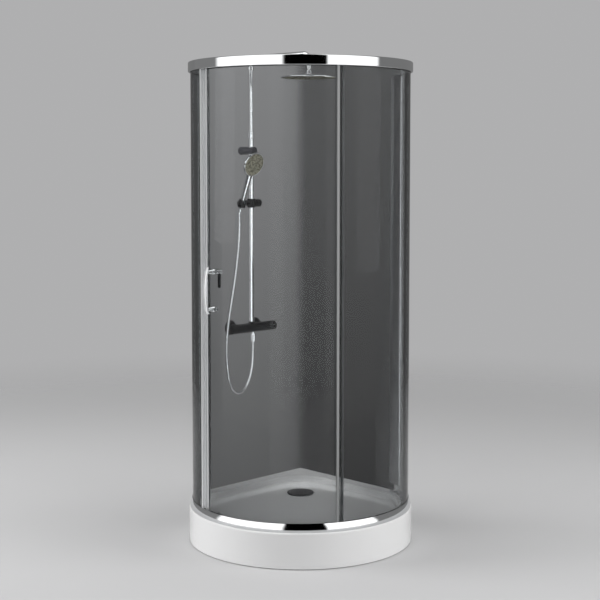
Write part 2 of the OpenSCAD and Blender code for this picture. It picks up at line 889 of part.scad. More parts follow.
module wheel(a, z) {
    groove = 0.8;
    bore = axle_d / 2 + bearing_play;
    on_front(a, wheel_r0, z)
        rotate([0, 90, 0])
            rotate_extrude($fn = round_fn)
                polygon([
                    [bore, 0], [bore + 2, 0], [bore + 2.5, groove], [wheel_r - 2.5, groove],
                    [wheel_r - 1.5, 0], [wheel_r - 0.5, 0], [wheel_r, 0.5],
                    [wheel_r, wheel_w - 0.5], [wheel_r - 0.5, wheel_w], [bore, wheel_w]
                ]);
}

module top_wheel_left() color("white")
    wheel(wheel_angles[0], wheel_z1);

module top_wheel_right() color("white")
    wheel(wheel_angles[1], wheel_z1);

module bottom_wheel_left() color("white")
    wheel(wheel_angles[0], wheel_z0);

module bottom_wheel_right() color("white")
    wheel(wheel_angles[1], wheel_z0);

// Bowed bar: a loft of rounded sections that narrow toward both ends
module handle_bar() color(chrome) {
    half = handle_len / 2;
    rings = [
        for (i = [0 : bar_steps])
            let (t = sin(180 * i / bar_steps - 90))
            let (end = max(0.3, pow(1 - pow(abs(t), 24), 0.25)))
            let (w = end * (bar_end_w + (bar_w - bar_end_w) * (1 - t * t)) / 2)
            for (k = [0 : bar_sides - 1])
                let (a = -360 * k / bar_sides)
                [bar_line(t) + end * bar_t / 2 * full(cos(a)), w * full(sin(a)), t * half]
    ];
    on_front(handle_a, door_out, handle_z)
        skin(rings, bar_sides);
}

// Distance of the bar's middle line from the door's glass, where t runs from -1 to 1
function bar_line(t) = bar_reach + bar_bow * (1 - t * t);

// Fills out a sine or cosine, so that a section is between a circle and a square
function full(c) = sign(c) * sqrt(abs(c));

module handle_standoffs() color(chrome)
    for (z = standoff_heights)
        difference() {
            t = (z - handle_z) * 2 / handle_len;
            lean = atan(-4 * bar_bow * t / handle_len);
            union() {
                glass_disc(handle_a, z, door_out + washer_t, door_out + washer_t + 4, disc_d);
                radial_rod(handle_a, z, door_out + washer_t + 1, door_out + bar_line(0), standoff_d);
            }
            on_front(handle_a, door_out + bar_line(t) - bar_t / 2 - bar_seat, z)
                rotate([0, lean, 0])
                    translate([0, -standoff_d, -standoff_d])
                        cube(2 * standoff_d);
            radial_rod(handle_a, z, door_out, door_out + 14, bolt_d + bolt_play);
        }

module handle_washers() color(clear_seal)
    for (z = standoff_heights)
        difference() {
            union() {
                glass_disc(handle_a, z, door_out, door_out + washer_t, disc_d - 2);
                glass_disc(handle_a, z, door_in - washer_t, door_in, pull_neck_d - 1);
            }
            radial_rod(handle_a, z, door_in - 5, door_out + 5, bolt_d + bolt_play);
        }

// Inner pull: a neck on the bolt of the upper standoff, with a socket for its grip
module inner_pull() color(chrome) {
    z = standoff_heights[1];
    face = door_in - washer_t;
    radial_rod(handle_a, z, face - 3, door_out + 13, bolt_d);
    difference() {
        union() {
            glass_disc(handle_a, z, face - 5, face, pull_neck_d);
            radial_rod(handle_a, z, door_in - pull_reach + 1, face - 2, pull_neck_d);
            radial_rod(handle_a, z, door_in - pull_reach, face - 2, pull_neck_d - 2);
        }
        on_front(handle_a, grip_r, z - pull_neck_d)
            cylinder(h = pull_neck_d / 2 + grip_socket, d = pull_d + bolt_play, $fn = round_fn);
    }
}

// Grip that hangs from the socket in the inner pull's neck
module pull_grip() color(graphite) {
    neck_z = standoff_heights[1] - pull_neck_d / 2;
    on_front(handle_a, grip_r, neck_z - pull_drop + pull_d / 2) {
        cylinder(h = pull_drop - pull_d / 2 + grip_socket, d = pull_d, $fn = round_fn);
        sphere(d = pull_d, $fn = round_fn);
    }
}

module inner_cap() color(chrome) {
    z = standoff_heights[0];
    face = door_in - washer_t;
    radial_rod(handle_a, z, face - 3, door_out + 13, bolt_d);
    glass_disc(handle_a, z, face - 4, face, pull_neck_d);
    radial_rod(handle_a, z, face - 7, face - 2, pull_neck_d);
}

// Screws that fix each post in its channel, from inside the enclosure
module post_screws() color(steel)
    for (z = screw_heights, s = [-1, 1]) {
        leg_r = post_in_r - post_play - channel_t;
        radial_rod(s * post_screw_a, z + post_screw_up, leg_r - 2 - seat_gap,
            leg_r - seat_gap, 8);
        radial_rod(s * post_screw_a, z + post_screw_up, leg_r - 1, post_in_r + post_wall,
            post_screw_d);
    }

// Mixer: bar along the wall with collars, bosses for the riser and the inlets
module mixer_body() color(graphite) difference() {
    union() {
        translate([riser_in, mixer_y + mixer_len / 2, mixer_z])
            rotate([90, 0, 0])
                rotate_extrude($fn = round_fn)
                    polygon([
                        [0, 0], [mixer_d / 2 - 1, 0], [mixer_d / 2, 1],
                        [mixer_d / 2, mixer_len - 1], [mixer_d / 2 - 1, mixer_len], [0, mixer_len]
                    ]);
        for (y = inlet_ys)
            translate([union_end, y, mixer_z])
                rotate([0, 90, 0])
                    cylinder(h = mixer_d / 2 + boss_len, d = boss_d, $fn = round_fn);
        translate([riser[0], riser[1], mixer_z])
            cylinder(h = riser_base_z - mixer_z, d = boss_d, $fn = round_fn);
    }
    for (y = inlet_ys)
        translate([union_end - 1, y, mixer_z])
            rotate([0, 90, 0])
                cylinder(h = boss_len + 8, d = inlet_bore - 2, $fn = round_fn);
}

// Wall unions: domed rose, bored neck and six-sided nut
module mixer_unions() color(chrome)
    for (y = inlet_ys)
        translate([0, y, mixer_z])
            rotate([0, 90, 0])
                difference() {
                    union() {
                        rotate_extrude($fn = round_fn)
                            polygon([
                                [0, 0], [rose_d / 2, 0], [rose_d / 2, 2], [rose_d / 2 - 5, 8],
                                [rose_d / 2 - 15, rose_h - 1], [union_d / 2 + 2, rose_h],
                                [0, rose_h]
                            ]);
                        cylinder(h = union_end, d = union_d, $fn = round_fn);
                        translate([0, 0, union_end - union_nut_h])
                            cylinder(h = union_nut_h, d = union_nut_d, $fn = 6);
                    }
                    translate([0, 0, -1])
                        cylinder(h = union_end + 2, d = inlet_bore, $fn = round_fn);
                }

// Knob with grip flutes and a raised button, turned about the mixer's axis
module mixer_knob(flutes) {
    r = mixer_d / 2 + 0.5;
    difference() {
        union() {
            rotate_extrude($fn = round_fn)
                polygon([
                    [0, 0], [r - 1, 0], [r, 1], [r, knob_len - 5], [r - 1, knob_len - 2],
                    [r - 3, knob_len], [0, knob_len]
                ]);
            translate([r - 3, -5, knob_len - 26])
                cube([6, 10, 14]);
        }
        for (a = [360 / flutes : 360 / flutes : 359])
            rotate(a)
                translate([r + 1.5, 0, knob_len - 28])
                    cylinder(h = knob_len, r = 3, $fn = 24);
    }
}

module temperature_knob() color(graphite)
    translate([riser_in, mixer_y - mixer_len / 2 - knob_gap, mixer_z])
        rotate([90, 0, 0])
            mixer_knob(9);

module flow_knob() color(graphite)
    translate([riser_in, mixer_y + mixer_len / 2 + knob_gap, mixer_z])
        rotate([-90, 0, 0])
            mixer_knob(7);

module hose_outlet() color(chrome) difference() {
    translate([hose_points[0][0], hose_points[0][1], outlet_z - outlet_neck])
        cylinder(h = outlet_neck + 3, d = 15, $fn = round_fn);
    translate([riser_in, mixer_y + mixer_len / 2, mixer_z])
        rotate([90, 0, 0])
            cylinder(h = mixer_len, d = mixer_d, $fn = round_fn);
}

module mixer_hose_nut() color(chrome)
    translate(hose_points[0])
        cylinder(h = outlet_z - outlet_neck - hose_points[0][2], d = 21, $fn = 6);

module lower_riser() color(chrome)
    translate([riser[0], riser[1], 0])
        difference() {
            union() {
                translate([0, 0, riser_base_z])
                    cylinder(h = collar_z - collar_h - riser_base_z, d = lower_d, $fn = round_fn);
                translate([0, 0, riser_base_z])
                    cylinder(h = 14, d = 27, $fn = round_fn);
            }
            translate([0, 0, upper_z0 - 120])
                cylinder(h = collar_z, d = upper_d + 2 * riser_play, $fn = round_fn);
        }

// Collar on the lower riser's end, in which the upper riser slides
module riser_collar() color(chrome)
    translate([riser[0], riser[1], collar_z - collar_h])
        difference() {
            rotate_extrude($fn = round_fn)
                polygon([
                    [0, 0], [12, 0], [14, 3], [14, collar_h - 4], [12, collar_h], [0, collar_h]
                ]);
            translate([0, 0, -1])
                cylinder(h = collar_h + 2, d = upper_d + 2 * riser_play, $fn = round_fn);
            translate([0, 0, collar_h - 12])
                rotate([0, 90, -40])
                    cylinder(h = 20, d = 4.4, $fn = round_fn);
        }

module collar_screw() color(rubber)
    translate([riser[0], riser[1], collar_z - 12])
        rotate([0, 90, -40])
            translate([0, 0, upper_d / 2 + riser_play + 0.3])
                cylinder(h = 5, d = 4.3, $fn = round_fn);

// Bracket that holds the lower riser off the wall
module wall_bracket() color(graphite)
    translate([0, riser[1], bracket_z])
        difference() {
            rotate([0, 90, 0])
                rotate_extrude($fn = round_fn)
                    polygon([
                        [0, 0], [bracket_d / 2 + 1, 0], [bracket_d / 2 + 1, 4],
                        [bracket_d / 2, 5], [bracket_d / 2, bracket_reach - 2],
                        [bracket_d / 2 - 2, bracket_reach], [0, bracket_reach]
                    ]);
            translate([riser_in, 0, -bracket_d])
                cylinder(h = 2 * bracket_d, d = lower_d + 2 * slide_play, $fn = round_fn);
        }

module upper_riser() color(chrome)
    translate([riser[0], riser[1], upper_z0])
        difference() {
            cylinder(h = nut_z - upper_z0, d = upper_d, $fn = round_fn);
            translate([0, 0, -1])
                cylinder(h = nut_z - upper_z0 + 2, d = upper_d - 3, $fn = round_fn);
        }

// Nut on the upper riser, in which the arm turns
module arm_nut() color(chrome)
    translate([riser[0], riser[1], nut_z])
        difference() {
            rotate_extrude($fn = round_fn)
                polygon([
                    [0, 0], [upper_d / 2 + 2, 0], [upper_d / 2 + 4, 2], [upper_d / 2 + 4, 16],
                    [upper_d / 2 + 2, 18], [0, 18]
                ]);
            translate([0, 0, 2])
                cylinder(h = 18, d = upper_d + 2 * arm_play, $fn = round_fn);
        }

// Way of the arm: up out of its nut, round a bend, across, round a bend and down
module arm_run(d, low) {
    across = head_out - riser_in;
    translate([riser[0], riser[1], 0]) {
        translate([0, 0, nut_z + low])
            cylinder(h = arm_z - arm_bend - nut_z - low, d = d, $fn = round_fn);
        for (turn = [0, 1])
            translate([turn == 0 ? arm_bend : across - arm_bend, 0, arm_z - arm_bend])
                rotate([90, 0, 0])
                    rotate(90 - 90 * turn)
                        rotate_extrude(angle = 90, $fn = 96)
                            translate([arm_bend, 0])
                                circle(d = d, $fn = 48);
        translate([arm_bend, 0, arm_z])
            rotate([0, 90, 0])
                cylinder(h = across - 2 * arm_bend, d = d, $fn = round_fn);
        translate([across, 0, joint_z + low])
            cylinder(h = arm_z - arm_bend - joint_z - low, d = d, $fn = round_fn);
    }
}

// Arm: bent tube with a ball at its end
module shower_arm() color(chrome) {
    difference() {
        arm_run(upper_d, arm_seat);
        arm_run(upper_d - 3, arm_seat + 4);
        translate([riser[0], riser[1], nut_z])
            cylinder(h = arm_seat + 5, d = upper_d - 3, $fn = round_fn);
    }
    translate([head_out, riser[1], ball_z]) {
        cylinder(h = joint_z - ball_z + arm_seat + 1, d = 10, $fn = round_fn);
        sphere(r = ball_r, $fn = round_fn);
    }
}

// Cone nut round the ball at the arm's end, which carries the rain head
module head_joint() color(chrome)
    translate([head_out, riser[1], 0])
        difference() {
            rotate_extrude($fn = round_fn)
                polygon([
                    [0, head_z + 10], [16.5, head_z + 10], [16.5, head_z + 16],
                    [15, head_z + 18], [11, head_z + 18], [11, head_z + 31],
                    [10, head_z + 33], [0, head_z + 33]
                ]);
            translate([0, 0, ball_z])
                sphere(r = ball_r + ball_play, $fn = round_fn);
            translate([0, 0, ball_z])
                cylinder(h = 20, r1 = 5.6, r2 = 12, $fn = round_fn);
        }

module rain_head() color(chrome)
    translate([head_out, riser[1], head_z])
        rotate_extrude($fn = 144)
            polygon([
                [0, 2], [head_d / 2 - 8, 2], [head_d / 2 - 8, 0], [head_d / 2 - 1, 0],
                [head_d / 2, 1.5], [head_d / 2 - 1, 4], [head_d / 2 - 12, 5.5], [34, 7],
                [20, 10], [0, 10]
            ]);

// Soft plate with rows of round nozzles
module rain_nozzles() color(rubber)
    translate([head_out, riser[1], head_z])
        difference() {
            union() {
                cylinder(h = 2, d = head_d - 16.4, $fn = 144);
                for (row = [1 : rain_rows])
                    nozzle_ring(row * (head_d - 30) / 2 / rain_rows, 8 * row);
            }
            translate([0, 0, 3])
                cylinder(h = 1, d = head_d);
        }

module nozzle_ring(r, count) {
    for (k = [0 : count - 1])
        rotate(360 * k / count)
            translate([r, 0, -1.5])
                cylinder(h = 2, d = 3, $fn = 16);
}

// Slider on the riser: barrel, cross bar and the seat of the clamp knob
module slider_body() color(graphite)
    difference() {
        union() {
            translate([riser[0], riser[1], slider_z - slider_hgt / 2])
                rotate_extrude($fn = round_fn)
                    polygon([
                        [0, 0], [slider_r - 2, 0], [slider_r, 2], [slider_r, slider_hgt - 2],
                        [slider_r - 2, slider_hgt], [0, slider_hgt]
                    ]);
            translate([slider_axis_x, riser[1], slider_z])
                rotate([90, 0, 0])
                    cylinder(h = holder_y0 - 0.3, d = 24, $fn = round_fn);
            translate([slider_axis_x, riser[1] + 19.7, slider_z])
                rotate([90, 0, 0])
                    cylinder(h = 19.7, d = 26, $fn = round_fn);
        }
        translate([riser[0], riser[1], slider_z - slider_hgt])
            cylinder(h = 2 * slider_hgt, d = lower_d + 2 * slide_play, $fn = round_fn);
    }

module slider_knob() color(graphite)
    translate([slider_axis_x, riser[1] + 20, slider_z])
        rotate([-90, 0, 0])
            difference() {
                rotate_extrude($fn = round_fn)
                    polygon([
                        [0, 0], [15, 0], [17, 2], [17, slider_knob_len - 4],
                        [14, slider_knob_len], [0, slider_knob_len]
                    ]);
                for (a = [0 : 30 : 330])
                    rotate(a)
                        translate([18, 0, 8])
                            cylinder(h = slider_knob_len, r = 2.4, $fn = 24);
            }

// Places children along the handset: z up its handle, x out of its face
module handset() {
    translate([holder_in, -holder_from_corner, slider_z])
        rotate([0, handset_lean, 0])
            children();
}

// Holder: open clamp round the handset's handle, on a stub that turns in the slider
module shower_holder() color(graphite)
    difference() {
        union() {
            handset()
                translate([0, 0, -holder_hgt / 2])
                    rotate_extrude($fn = round_fn)
                        polygon([
                            [0, 0], [holder_r - 2, 0], [holder_r, 2], [holder_r, holder_hgt - 2],
                            [holder_r - 2, holder_hgt], [0, holder_hgt]
                        ]);
            translate([slider_axis_x, riser[1] - holder_y0, slider_z])
                rotate([90, 0, 0])
                    cylinder(h = holder_r, d = 24, $fn = round_fn);
        }
        handset() {
            translate([0, 0, -holder_hgt])
                cylinder(h = 2 * holder_hgt, d = handset_grip_d + 2 * grip_play, $fn = round_fn);
            translate([0, -7.5, -holder_hgt])
                cube([2 * holder_r, 15, 2 * holder_hgt]);
        }
    }

// Place of the handset's face: z into its head
module handset_front()
    handset()
        translate([handset_grip_d / 2 + 1, 0, handset_reach])
            rotate([0, -90, 0])
                children();

// Handset: tapered handle, neck and a domed round head, hollowed for its spray face
module hand_shower() color(chrome) difference() {
    grip = handset_grip_d / 2;
    neck = handset_reach - handset_head_d / 2;
    head_r = handset_head_d / 2;
    union() {
        handset()
            rotate_extrude($fn = round_fn)
                polygon([
                    [0, handset_base], [grip - 2, handset_base], [grip - 0.5, handset_base + 4],
                    [grip, 0], [grip, 30], [grip + 1.5, neck - 30], [grip + 2, neck],
                    [grip - 1, neck + 30], [0, neck + 34]
                ]);
        handset_front()
            rotate_extrude($fn = 96)
                polygon([
                    [0, 0], [head_r - 1.5, 0], [head_r, 2], [head_r, 6], [head_r - 6, 12],
                    [head_r - 22, 17], [16, head_t], [0, head_t]
                ]);
    }
    handset_front()
        translate([0, 0, -head_t])
            cylinder(h = head_t + face_depth, r = head_r - face_rim, $fn = 96);
}

module spray_face() color(spray)
    handset_front() {
        translate([0, 0, 0.5])
            cylinder(h = face_depth - 0.5, r = handset_head_d / 2 - face_rim - 0.2, $fn = 96);
        for (row = [1 : 4])
            translate([0, 0, 1])
                nozzle_ring(row * 11, 6 * row);
    }

// Hose that hangs from the mixer and comes up to the handset
module shower_hose() color(chrome)
    tube_along(smooth(hose_points, hose_steps), hose_d, hose_sides, [0, 0, -1],
        [sin(handset_lean), 0, cos(handset_lean)]);

module handset_hose_nut() color(chrome) {
    to_holder = [holder_in, -holder_from_corner, slider_z] - hose_points[len(hose_points) - 1];
    reach = to_holder * [sin(handset_lean), 0, cos(handset_lean)];
    handset()
        translate([0, 0, hose_gap - reach])
            cylinder(h = reach + handset_base - hose_gap, d1 = hose_d + 2,
                d2 = handset_grip_d - 4, $fn = round_fn);
}

shower_tray();
tray_board();
tray_leg_frame();
tray_feet();
waste_flange();
waste_trap();
drain_cover();
bottom_rail();
top_rail();
left_wall_profile();
right_wall_profile();
left_post();
right_post();
left_fixed_glass();
right_fixed_glass();
left_end_profile();
left_magnet_strip();
right_edge_profile();
post_screws();
door_stops();
door_glass();
door_leading_profile();
door_magnet_strip();
door_trailing_seal();
roller_axles();
roller_caps();
top_wheel_left();
top_wheel_right();
bottom_wheel_left();
bottom_wheel_right();
handle_bar();
handle_standoffs();
handle_washers();
inner_pull();
pull_grip();
inner_cap();
mixer_body();
mixer_unions();
temperature_knob();
flow_knob();
hose_outlet();
lower_riser();
riser_collar();
collar_screw();
wall_bracket();
upper_riser();
arm_nut();
shower_arm();
head_joint();
rain_head();
rain_nozzles();
slider_body();
slider_knob();
shower_holder();
hand_shower();
spray_face();
shower_hose();
mixer_hose_nut();
handset_hose_nut();
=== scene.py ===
"""Finishes and fine pieces of a corner shower enclosure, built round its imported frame."""

import math

import bmesh
import bpy
from bpy.props import FloatProperty, FloatVectorProperty, IntProperty, PointerProperty
from bpy.types import Operator, Panel, PropertyGroup
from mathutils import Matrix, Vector


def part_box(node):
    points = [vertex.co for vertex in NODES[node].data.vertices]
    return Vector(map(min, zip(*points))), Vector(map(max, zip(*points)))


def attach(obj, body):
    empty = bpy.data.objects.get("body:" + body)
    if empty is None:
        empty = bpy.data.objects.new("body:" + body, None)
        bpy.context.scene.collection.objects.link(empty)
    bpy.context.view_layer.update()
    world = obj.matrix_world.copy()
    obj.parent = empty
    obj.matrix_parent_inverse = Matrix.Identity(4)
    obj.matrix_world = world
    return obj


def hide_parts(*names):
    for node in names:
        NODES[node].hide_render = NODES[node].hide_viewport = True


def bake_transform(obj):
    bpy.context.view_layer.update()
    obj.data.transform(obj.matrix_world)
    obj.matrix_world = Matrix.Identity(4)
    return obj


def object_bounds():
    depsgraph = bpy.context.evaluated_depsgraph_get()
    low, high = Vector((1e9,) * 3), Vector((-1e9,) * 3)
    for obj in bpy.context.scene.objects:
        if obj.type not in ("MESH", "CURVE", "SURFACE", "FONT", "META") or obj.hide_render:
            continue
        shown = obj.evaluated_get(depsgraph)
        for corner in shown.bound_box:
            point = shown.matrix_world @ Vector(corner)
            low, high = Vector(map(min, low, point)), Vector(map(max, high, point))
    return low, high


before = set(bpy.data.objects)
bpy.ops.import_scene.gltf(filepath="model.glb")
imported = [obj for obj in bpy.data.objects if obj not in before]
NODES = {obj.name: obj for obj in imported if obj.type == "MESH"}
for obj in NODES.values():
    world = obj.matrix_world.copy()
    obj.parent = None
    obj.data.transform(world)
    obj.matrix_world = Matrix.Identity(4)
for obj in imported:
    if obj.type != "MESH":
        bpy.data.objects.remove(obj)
cad_low, cad_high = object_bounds()

bl_info = {
    "name": "Corner Shower Enclosure",
    "version": (1, 0, 0),
    "blender": (4, 5, 0),
    "location": "3D View > Sidebar > Shower",
    "description": "Finishes, hose, gaskets and studio of a corner shower enclosure",
    "category": "Object",
}

ROOT = "enclosure"
MILLIMETRE = 0.001
# Centre of the round front, and the diagonal from the inner corner through it
ARC_CENTRE = Vector((0.43, -0.43, 0.0))
DIAGONAL = math.radians(-45)

# Centre line of the hose in millimetres, from the mixer's nut to the handset's nut
HOSE_POINTS = [
    (66, -365, 791.7), (66.2, -365.6, 747.7), (67.8, -370.1, 704), (70.7, -380.7, 661.5),
    (74.5, -399.8, 622.2), (79, -428, 589), (84.2, -466.9, 574), (88.4, -503.9, 591.8),
    (90.4, -525.8, 629.6), (91.4, -537.5, 672), (92.2, -543.9, 715.4), (93.3, -546.9, 759.3),
    (94.4, -546.8, 803.2), (95.2, -543.6, 847.1), (95.5, -537.7, 890.7), (95.1, -529.6, 933.9),
    (93.6, -519.6, 976.7), (90.9, -508.2, 1019), (86.9, -495.9, 1061.1), (82.1, -483.5, 1103),
    (77.1, -471.5, 1145), (72.3, -460.8, 1187.4), (68.4, -452.1, 1230.3), (66, -446.3, 1273.8),
    (65.6, -444.3, 1317.7), (68, -447, 1361.5),
]
# Steps in each quarter of the hose's round section
HOSE_ROUNDNESS = 6

# Pieces made here: merged doubles, creases that stay sharp, and steps round the front
DOUBLES = 0.00001
SHARP = math.radians(35)
STRIP_STEP = math.radians(1.5)
# Share of a gasket's thickness that is left at its lip
GASKET_LIP = 0.4

# Below that of plain glass, so that the panels mirror as little as the real ones
GLASS_IOR = 1.2
PLASTIC_IOR = 1.45
# Share of the lamps' light that passes each face of a pane, and each face of a seal
GLASS_VEIL = 0.45
SEAL_VEIL = 0.8
# Scale of a pattern along the three axes: even, and on rails, posts and drawn steel
NATURAL = (1.0, 1.0, 1.0)
ALONG_RAIL = (1.0, 1.0, 6.0)
ALONG_POST = (4.0, 4.0, 0.5)
ALONG_STEEL = (1.0, 1.0, 0.05)

# Width of the camera's sensor in millimetres
SENSOR_WIDTH = 36.0
FLOOR_SIDES = 96
# Where the floor starts to fade in metres, and the share of its radius where it is gone
FADE_START = 1.4
FADE_END = 0.9
# Level direction to the right across the object's front
RIGHTWARDS = (math.sqrt(0.5), math.sqrt(0.5), 0.0)
# Behind the glass the backdrop carries painted shade, darker to the right and low down, standing in
# for the shaded inside of the enclosure
# Places of the backdrop's left, middle and right tones behind the glass, across that direction
TONE_PLACES = (0.435, 0.495, 0.503)
# Rise of the sight line where the backdrop's low tone ends, and where its full tone starts
TONE_RISE = (-0.25, 0.07)
# Grey of the mirrored surroundings outside the white panels, on the left and on the right
LEFT_GREY = 0.22
RIGHT_GREY = 0.2
# Colours of the even light and of the white panels
EVEN_GREY = (0.8, 0.8, 0.8)
WHITE = (1.0, 1.0, 1.0)


class CameraSettings(PropertyGroup):
    lens: FloatProperty(name="Lens", description="Focal length on a 36 mm sensor", default=77.29)
    distance: FloatProperty(
        name="Distance", description="Level distance from the inner corner", default=5.9966,
        unit="LENGTH")
    height: FloatProperty(
        name="Height", description="Height above the floor", default=1.5925, unit="LENGTH")
    tilt: FloatProperty(
        name="Tilt", description="How far it looks down", default=math.radians(4.056),
        subtype="ANGLE")
    shift_x: FloatProperty(
        name="Shift X", description="Sideways shift of the picture", default=-0.000816)
    shift_y: FloatProperty(
        name="Shift Y", description="Vertical shift of the picture", default=-0.08)


class StudioSettings(PropertyGroup):
    backdrop: FloatVectorProperty(
        name="Backdrop", description="Colour behind the object", default=(0.43, 0.43, 0.435),
        size=3, subtype="COLOR")
    floor: FloatVectorProperty(
        name="Floor", description="Colour of the floor", default=(0.60, 0.60, 0.605), size=3,
        subtype="COLOR")
    floor_radius: FloatProperty(
        name="Floor radius", description="Reach of the floor", default=5.5, unit="LENGTH")
    ambient: FloatProperty(
        name="Ambient", description="Even light from all sides", default=0.42, min=0.0)
    key: FloatProperty(
        name="Key", description="Power of the left softbox in watts", default=150.0)
    fill: FloatProperty(
        name="Fill", description="Power of the right softbox in watts", default=110.0)
    top: FloatProperty(
        name="Top", description="Power of the top softbox in watts", default=70.0)
    inner_contrast: FloatProperty(
        name="Inner contrast",
        description="Contrast of what the fittings behind the glass mirror", default=4.0)
    # The inner tones are painted shade on the backdrop behind the glass
    inner_left: FloatProperty(
        name="Inner left", description="Tone of the backdrop far left behind the glass",
        default=1.12)
    inner_middle: FloatProperty(
        name="Inner middle", description="Tone of the backdrop left of the middle",
        default=0.84)
    inner_right: FloatProperty(
        name="Inner right", description="Tone of the backdrop right of the middle",
        default=0.37)
    inner_base: FloatProperty(
        name="Inner base", description="How much of that tone is left low down", default=0.43)
    inner_turn: FloatProperty(
        name="Inner turn", description="How far round the dark gap moves behind the glass",
        default=math.radians(58), subtype="ANGLE")
    panel_glow: FloatProperty(
        name="Panels", description="Brightness of the white panels in reflections", default=1.5)


class FinishSettings(PropertyGroup):
    chrome: FloatVectorProperty(
        name="Chrome", description="Colour of chrome and polished profiles",
        default=(0.80, 0.81, 0.82), size=3, subtype="COLOR")
    chrome_roughness: FloatProperty(
        name="Chrome roughness", description="Roughness of clean chrome", default=0.05, min=0.0,
        max=1.0)
    fitting_roughness: FloatProperty(
        name="Fitting roughness", description="Roughness of the handle's softer chrome",
        default=0.2, min=0.0, max=1.0)
    edge: FloatVectorProperty(
        name="Edges", description="Colour of the profiles on the glass's edges",
        default=(0.86, 0.87, 0.88), size=3, subtype="COLOR")
    graphite: FloatVectorProperty(
        name="Graphite", description="Colour of the dark fittings", default=(0.014, 0.014, 0.016),
        size=3, subtype="COLOR")
    acrylic: FloatVectorProperty(
        name="Acrylic", description="Colour of the tray", default=(0.90, 0.90, 0.90), size=3,
        subtype="COLOR")
    tint: FloatVectorProperty(
        name="Tint", description="Colour that the smoked glass lets through",
        default=(0.12, 0.13, 0.14), size=3, subtype="COLOR")
    tint_density: FloatProperty(
        name="Tint density", description="Absorption of the smoked glass per metre", default=120.0,
        min=0.0)
    seal: FloatVectorProperty(
        name="Seals", description="Colour of the translucent strips", default=(0.74, 0.75, 0.76),
        size=3, subtype="COLOR")
    spray: FloatVectorProperty(
        name="Spray face", description="Colour of the soft nozzles", default=(0.95, 0.91, 0.70),
        size=3, subtype="COLOR")


class HoseSettings(PropertyGroup):
    diameter: FloatProperty(
        name="Diameter", description="Outer diameter of the hose", default=0.012, unit="LENGTH")
    smoothness: IntProperty(
        name="Smoothness", description="Steps between two points of the hose", default=6, min=2)


class TrimSettings(PropertyGroup):
    gasket: FloatProperty(
        name="Gasket", description="Thickness of the glazing gaskets", default=0.0012,
        unit="LENGTH")
    gasket_height: FloatProperty(
        name="Gasket height", description="How far a gasket shows out of its rail",
        default=0.003, unit="LENGTH")


def new_material(name):
    """Material with a Principled shader, its tree and that shader."""
    material = bpy.data.materials.new(name)
    material.use_nodes = True
    tree = material.node_tree
    return material, tree, tree.nodes["Principled BSDF"]


def add(tree, kind, **values):
    """New node with its properties set."""
    node = tree.nodes.new(kind)
    for name, value in values.items():
        setattr(node, name, value)
    return node


def feed(tree, socket, value):
    """Gives a socket a number, or another node's output."""
    if isinstance(value, bpy.types.NodeSocket):
        tree.links.new(value, socket)
    else:
        socket.default_value = value


def calculate(tree, operation, *values):
    """Result of a sum with numbers or other nodes' outputs."""
    node = add(tree, "ShaderNodeMath", operation=operation)
    for socket, value in zip(node.inputs, values):
        feed(tree, socket, value)
    return node.outputs["Value"]


def mixed(tree, factor, first, second):
    """Shader that goes from the first to the second as the factor goes from 0 to 1."""
    mix = add(tree, "ShaderNodeMixShader")
    for socket, value in zip(mix.inputs, (factor, first, second)):
        feed(tree, socket, value)
    return mix.outputs["Shader"]


def noise(tree, scale, detail=4.0, stretch=NATURAL):
    """Noise on the piece's own coordinates, stretched along an axis if asked."""
    place = add(tree, "ShaderNodeTexCoord")
    mapping = add(tree, "ShaderNodeMapping")
    mapping.inputs["Scale"].default_value = stretch
    texture = add(tree, "ShaderNodeTexNoise")
    texture.inputs["Scale"].default_value = scale
    texture.inputs["Detail"].default_value = detail
    tree.links.new(place.outputs["Object"], mapping.inputs["Vector"])
    tree.links.new(mapping.outputs["Vector"], texture.inputs["Vector"])
    return texture.outputs["Fac"]


def between(tree, value, low, high, span=(0.0, 1.0), **kind):
    """Value from a span, from 0 to 1 if none is given, brought between two limits."""
    ranged = add(tree, "ShaderNodeMapRange", **kind)
    names = ("Value", "From Min", "From Max", "To Min", "To Max")
    for name, given in zip(names, (value, *span, low, high)):
        feed(tree, ranged.inputs[name], given)
    return ranged.outputs["Result"]


def mottled(tree, value, dark, light):
    """Colour that drifts between two shades."""
    mix = add(tree, "ShaderNodeMix", data_type="RGBA")
    mix.inputs["A"].default_value = (*dark, 1.0)
    mix.inputs["B"].default_value = (*light, 1.0)
    tree.links.new(value, mix.inputs["Factor"])
    return mix.outputs["Result"]


def rough_by(tree, shader, value, low, high):
    """Roughness that drifts between two limits."""
    tree.links.new(between(tree, value, low, high), shader.inputs["Roughness"])


def relief(tree, shader, height, strength, distance):
    """Fine surface height, over a distance in metres."""
    bump = add(tree, "ShaderNodeBump")
    bump.inputs["Strength"].default_value = strength
    bump.inputs["Distance"].default_value = distance
    tree.links.new(height, bump.inputs["Height"])
    tree.links.new(bump.outputs["Normal"], shader.inputs["Normal"])


def shade(colour, factor):
    """Colour made darker or lighter."""
    return tuple(channel * factor for channel in colour)


def polished_metal(name, colour, roughness, stretch=NATURAL, wave=0.04):
    """Bright metal with faint wipe marks and a very slight waviness."""
    material, tree, shader = new_material(name)
    shader.inputs["Metallic"].default_value = 1.0
    wipes = noise(tree, 9.0, detail=6.0, stretch=stretch)
    tree.links.new(mottled(tree, wipes, shade(colour, 0.96), colour), shader.inputs["Base Color"])
    smears = noise(tree, 26.0, detail=5.0, stretch=stretch)
    rough_by(tree, shader, smears, roughness * 0.7, roughness * 1.5)
    if wave:
        waves = noise(tree, 14.0, detail=1.0, stretch=stretch)
        relief(tree, shader, waves, strength=wave, distance=0.0004)
    return material


